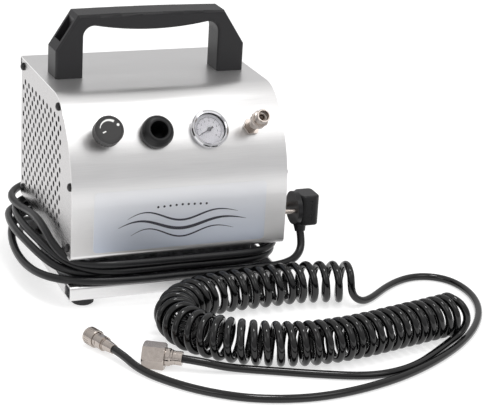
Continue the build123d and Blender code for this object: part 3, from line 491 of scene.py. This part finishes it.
class OBJECT_OT_pump(bpy.types.Operator):
    """Frame, cores, windings, piston, cylinder and air lines inside the case"""
    bl_idname = "compressor.pump"
    bl_label = "Pump"

    def execute(self, context):
        dress(surface("frame_paint", (0.20, 0.21, 0.23), 0.45, stretch=(60, 60, 60), bump=0.15),
              "pump_frame")
        dress(surface("laminations", (0.30, 0.30, 0.31), 0.4, metallic=0.8, stretch=(4, 400, 4),
                      colour_spread=0.3, bump=0.3), "coil_cores")
        dress(surface("copper_wire", (0.55, 0.20, 0.07), 0.28, metallic=0.8, stretch=(4, 4, 260),
                      colour_spread=0.3, bump=0.4), "pump_coils")
        dress(surface("ground_steel", (0.58, 0.58, 0.60), 0.22, metallic=1.0,
                      stretch=(4, 160, 160), bump=0.05), "pump_piston")
        dress(surface("piston_ring", (0.70, 0.68, 0.62), 0.5, stretch=(80, 80, 80)), "piston_ring")
        dress(surface("cast_aluminium", (0.66, 0.67, 0.69), 0.34, metallic=0.95,
                      stretch=(80, 80, 80), colour_spread=0.08, bump=0.15),
              "pump_cylinder", "cylinder_head", "regulator_body", "air_manifold")
        dress(surface("air_line", (0.03, 0.10, 0.38), 0.3, stretch=(60, 60, 60), bump=0.03,
                      coat=0.2), "air_tubes")
        wire = surface("spring_wire", (0.45, 0.45, 0.47), 0.25, metallic=1.0,
                       stretch=(90, 90, 90), bump=0.05)
        centre = Vector((0, 0.11 + FRONT_Y, 0.106))
        count = SPRING_TURNS * POINTS_PER_TURN
        for side, fixed, moving in (("left", -0.0567, -0.0313), ("right", 0.0367, 0.0113)):
            points = [centre + Vector((fixed + (moving - fixed) * i / count,
                                       SPRING_RADIUS * math.cos(math.tau * i / POINTS_PER_TURN),
                                       SPRING_RADIUS * math.sin(math.tau * i / POINTS_PER_TURN)))
                      for i in range(count + 1)]
            data = curve_mesh(round_line("spring", points, SPRING_WIRE, 2, 2))
            piece = bpy.data.objects.new(f"return_spring_{side}", data)
            context.scene.collection.objects.link(piece)
            data.materials.append(wire)
            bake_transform(piece)
            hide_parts(f"spring_{side}")
        return {"FINISHED"}


class OBJECT_OT_printed_marks(bpy.types.Operator):
    """Marks of the knob, scale of the gauge and the ornament on the front plate"""
    bl_idname = "compressor.printed_marks"
    bl_label = "Printed Marks"

    def execute(self, context):
        case = context.scene.compressor_case
        white = surface("mark_white", (0.86, 0.86, 0.84), 0.45, stretch=(80, 80, 80),
                        colour_spread=0.03, bump=0.03)
        ink = surface("mark_ink", (0.030, 0.030, 0.042), 0.4, stretch=(80, 80, 80),
                      colour_spread=0.1, bump=0.03)
        grey_ink = surface("dial_ink", (0.13, 0.13, 0.16), 0.5, stretch=(80, 80, 80),
                           colour_spread=0.08, bump=0.02)
        on_knob = control_matrix(KNOB_X) @ Matrix.Translation((0, 0, KNOB_FACE - 0.00005))
        outlines = [arc_band(0.0092, 170, 56, 0.0006, 0.0025), disc(0.0088, 0.0042, 0.0014),
                    bar(0.0040, 0.0076, 204, 0.0013)]
        place_piece("knob_marks", flat_mesh("knob_marks", outlines, on_knob, 0.00015), white,
                    "regulator")

        on_dial = control_matrix(GAUGE_X) @ Matrix.Translation((0, 0, DIAL_FACE - 0.00005))
        marks = [arc_band(0.0128, SCALE_ZERO, SCALE_ZERO - SCALE_SWEEP, 0.00025, 0.00025, 60)]
        small = case.dial_ticks * 5
        for i in range(small + 1):
            angle = SCALE_ZERO - SCALE_SWEEP * i / small
            long_mark = i % 5 == 0
            marks.append(bar(0.0108 if long_mark else 0.0118, 0.0128, angle,
                             0.00042 if long_mark else 0.00022))
        place_piece("gauge_scale", flat_mesh("gauge_scale", marks, on_dial, 0.0001), grey_ink)
        for i in range(case.dial_ticks + 1):
            angle = math.radians(SCALE_ZERO - SCALE_SWEEP * i / case.dial_ticks)
            data = bpy.data.curves.new(f"dial_number_{i}", "FONT")
            data.body = str(i)
            data.size = 0.0027
            data.align_x = "CENTER"
            data.align_y = "CENTER"
            data.extrude = 0.00004
            number = place_piece(f"dial_number_{i}", data, grey_ink)
            spot = Matrix.Translation((0.0088 * math.cos(angle), 0.0088 * math.sin(angle), 0.00012))
            number.matrix_world = on_dial @ spot

        plate = Matrix.Translation((0, FRONT_Y - 0.00035, 0)) @ Matrix.Rotation(math.pi / 2, 4, "X")
        strokes = []
        for lift, reach, swell in ((0.0, 1.0, 0.0030), (0.0085, 0.86, 0.0018), (-0.0085, 0.8, 0.0014)):
            steps = 44
            points, widths = [], []
            for i in range(steps + 1):
                share = i / steps
                x = 0.002 + 0.066 * reach * (2 * share - 1)
                y = 0.0805 + lift + 0.0062 * math.sin(math.tau * share * 1.5) * (1 - 0.5 * share)
                points.append((x, y))
                widths.append(0.0002 + swell * math.sin(math.pi * share) ** 0.8)
            strokes.append(ribbon(points, widths))
        for i in range(9):
            strokes.append(disc(-0.024 + 0.0062 * i, 0.1003 - 0.00025 * abs(i - 4), 0.0012))
        place_piece("plate_ornament", flat_mesh("plate_ornament", strokes, plate, 0.0001), ink)
        return {"FINISHED"}


class OBJECT_OT_mains_lead(bpy.types.Operator):
    """The mains lead wound round the groove, and its moulded plug"""
    bl_idname = "compressor.mains_lead"
    bl_label = "Mains Lead"

    def execute(self, context):
        cords = context.scene.compressor_cords
        sheath = surface("lead_sheath", cords.lead, 0.33, stretch=(100, 100, 100),
                         colour_spread=0.15, rough_spread=0.07, bump=0.03, specular=0.38)
        dress(sheath, "mains_plug")
        piece = place_piece("wound_lead", round_line("wound_lead", LEAD_ROUTE, LEAD_DIAMETER), sheath)
        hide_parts("mains_lead")
        return {"FINISHED"}


class OBJECT_OT_air_hose(bpy.types.Operator):
    """The air hose: a loose tail, a long coil bent round on itself, and another loose tail"""
    bl_idname = "compressor.air_hose"
    bl_label = "Air Hose"

    def execute(self, context):
        cords = context.scene.compressor_cords
        glossy = surface("hose_gloss", cords.hose, 0.12, stretch=(60, 60, 60), colour_spread=0.1,
                         rough_spread=0.03, bump=0.0, specular=0.5)
        shrink = math.cos(math.pi / POINTS_PER_TURN)
        turns = coil_points(COIL_ROUTE, COIL_FIRST_ANGLE, COIL_LAST_ANGLE + 360 * cords.coil_turns,
                            POINTS_PER_TURN, cords.coil_radius / shrink)
        points = LOW_TAIL[:-1] + [tuple(p) for p in turns] + HIGH_TAIL
        piece = place_piece("coiled_hose", round_line("coiled_hose", points, HOSE_DIAMETER, 4, 4),
                            glossy)
        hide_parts("hose_coil", "hose_tail_low", "hose_tail_high")
        return {"FINISHED"}


class OBJECT_OT_studio(bpy.types.Operator):
    """Pale floor, soft lights and the camera"""
    bl_idname = "compressor.studio"
    bl_label = "Studio"

    def execute(self, context):
        stage = context.scene.compressor_stage
        paper = surface("floor_paper", stage.floor, 0.8, stretch=(3, 3, 3), colour_spread=0.004,
                        rough_spread=0.02, bump=0.0)
        glow = paper.node_tree.nodes["Principled BSDF"]
        glow.inputs["Emission Color"].default_value = (1.0, 1.0, 1.0, 1)
        glow.inputs["Emission Strength"].default_value = 0.62
        sheet = bmesh.new()
        bmesh.ops.create_grid(sheet, x_segments=4, y_segments=4, size=6.0)
        data = bpy.data.meshes.new("studio_floor")
        sheet.to_mesh(data)
        sheet.free()
        data.materials.append(paper)
        floor = bpy.data.objects.new("studio_floor", data)
        context.scene.collection.objects.link(floor)

        world = bpy.data.worlds.new("studio_room")
        context.scene.world = world
        world.use_nodes = True
        nodes, links = world.node_tree.nodes, world.node_tree.links
        place = nodes.new("ShaderNodeTexCoord")
        split = nodes.new("ShaderNodeSeparateXYZ")
        links.new(place.outputs["Generated"], split.inputs["Vector"])
        tone = nodes.new("ShaderNodeValToRGB")
        ramp = tone.color_ramp
        ramp.elements[0].position = 0.0
        ramp.elements[0].color = (0.55, 0.55, 0.56, 1)
        ramp.elements[1].position = 0.75
        ramp.elements[1].color = (0.94, 0.935, 0.93, 1)
        links.new(split.outputs["Z"], tone.inputs["Fac"])
        room = nodes["Background"]
        room.inputs["Strength"].default_value = stage.sky
        links.new(tone.outputs["Color"], room.inputs["Color"])

        lights = [("key", (0.7, -1.2, 1.7), 0.9, 0.8), ("fill", (-1.4, -0.9, 1.0), 0.7, 0.4),
                  ("top", (0.1, -0.3, 1.9), 0.35, 1.4)]
        for name, spot, size, share in lights:
            lamp = bpy.data.lights.new(name, "AREA")
            lamp.shape = "SQUARE"
            lamp.size = size
            lamp.energy = stage.key * share
            holder = bpy.data.objects.new(name, lamp)
            holder.location = spot
            aim = LIGHT_AIM - Vector(spot)
            holder.rotation_euler = aim.to_track_quat("-Z", "Y").to_euler()
            context.scene.collection.objects.link(holder)

        turn, rise, roll = (math.radians(v) for v in (CAMERA_TURN, CAMERA_RISE, CAMERA_ROLL))
        back = Vector((math.sin(turn) * math.cos(rise), -math.cos(turn) * math.cos(rise),
                       math.sin(rise)))
        level = (-back).cross(Vector((0, 0, 1))).normalized()
        above = level.cross(-back)
        right = level * math.cos(roll) + above * math.sin(roll)
        up = above * math.cos(roll) - level * math.sin(roll)
        lens = bpy.data.cameras.new("camera")
        lens.lens = CAMERA_LENS
        lens.sensor_width = CAMERA_SENSOR
        lens.clip_end = 50
        camera = bpy.data.objects.new("camera", lens)
        camera.matrix_world = (Matrix.Translation(CAMERA_PLACE)
                               @ Matrix((right, up, back)).transposed().to_4x4())
        context.scene.collection.objects.link(camera)
        context.scene.camera = camera
        context.scene.view_settings.view_transform = "Standard"
        return {"FINISHED"}


OPERATORS = (OBJECT_OT_case_metal, OBJECT_OT_case_hardware, OBJECT_OT_controls, OBJECT_OT_pump,
             OBJECT_OT_printed_marks, OBJECT_OT_mains_lead, OBJECT_OT_air_hose, OBJECT_OT_studio)


class VIEW3D_PT_compressor(bpy.types.Panel):
    """Lists the steps and settings of the compressor"""
    bl_idname = "VIEW3D_PT_compressor"
    bl_label = "Airbrush Compressor"
    bl_space_type = "VIEW_3D"
    bl_region_type = "UI"
    bl_category = "Compressor"

    def draw(self, context):
        for group in ("compressor_case", "compressor_cords", "compressor_stage"):
            settings = getattr(context.scene, group)
            column = self.layout.column()
            for key in settings.bl_rna.properties.keys():
                if key not in {"rna_type", "name"}:
                    column.prop(settings, key)
        for step in OPERATORS:
            self.layout.operator(step.bl_idname)


CLASSES = (CompressorCase, CompressorCords, CompressorStage, *OPERATORS, VIEW3D_PT_compressor)


def register():
    for each in CLASSES:
        bpy.utils.register_class(each)
    bpy.types.Scene.compressor_case = PointerProperty(type=CompressorCase)
    bpy.types.Scene.compressor_cords = PointerProperty(type=CompressorCords)
    bpy.types.Scene.compressor_stage = PointerProperty(type=CompressorStage)


def unregister():
    del bpy.types.Scene.compressor_stage
    del bpy.types.Scene.compressor_cords
    del bpy.types.Scene.compressor_case
    for each in reversed(CLASSES):
        bpy.utils.unregister_class(each)


def main():
    register()
    for step in OPERATORS:
        group, name = step.bl_idname.split(".")
        getattr(getattr(bpy.ops, group), name)()


if __name__ == "__main__":
    main()
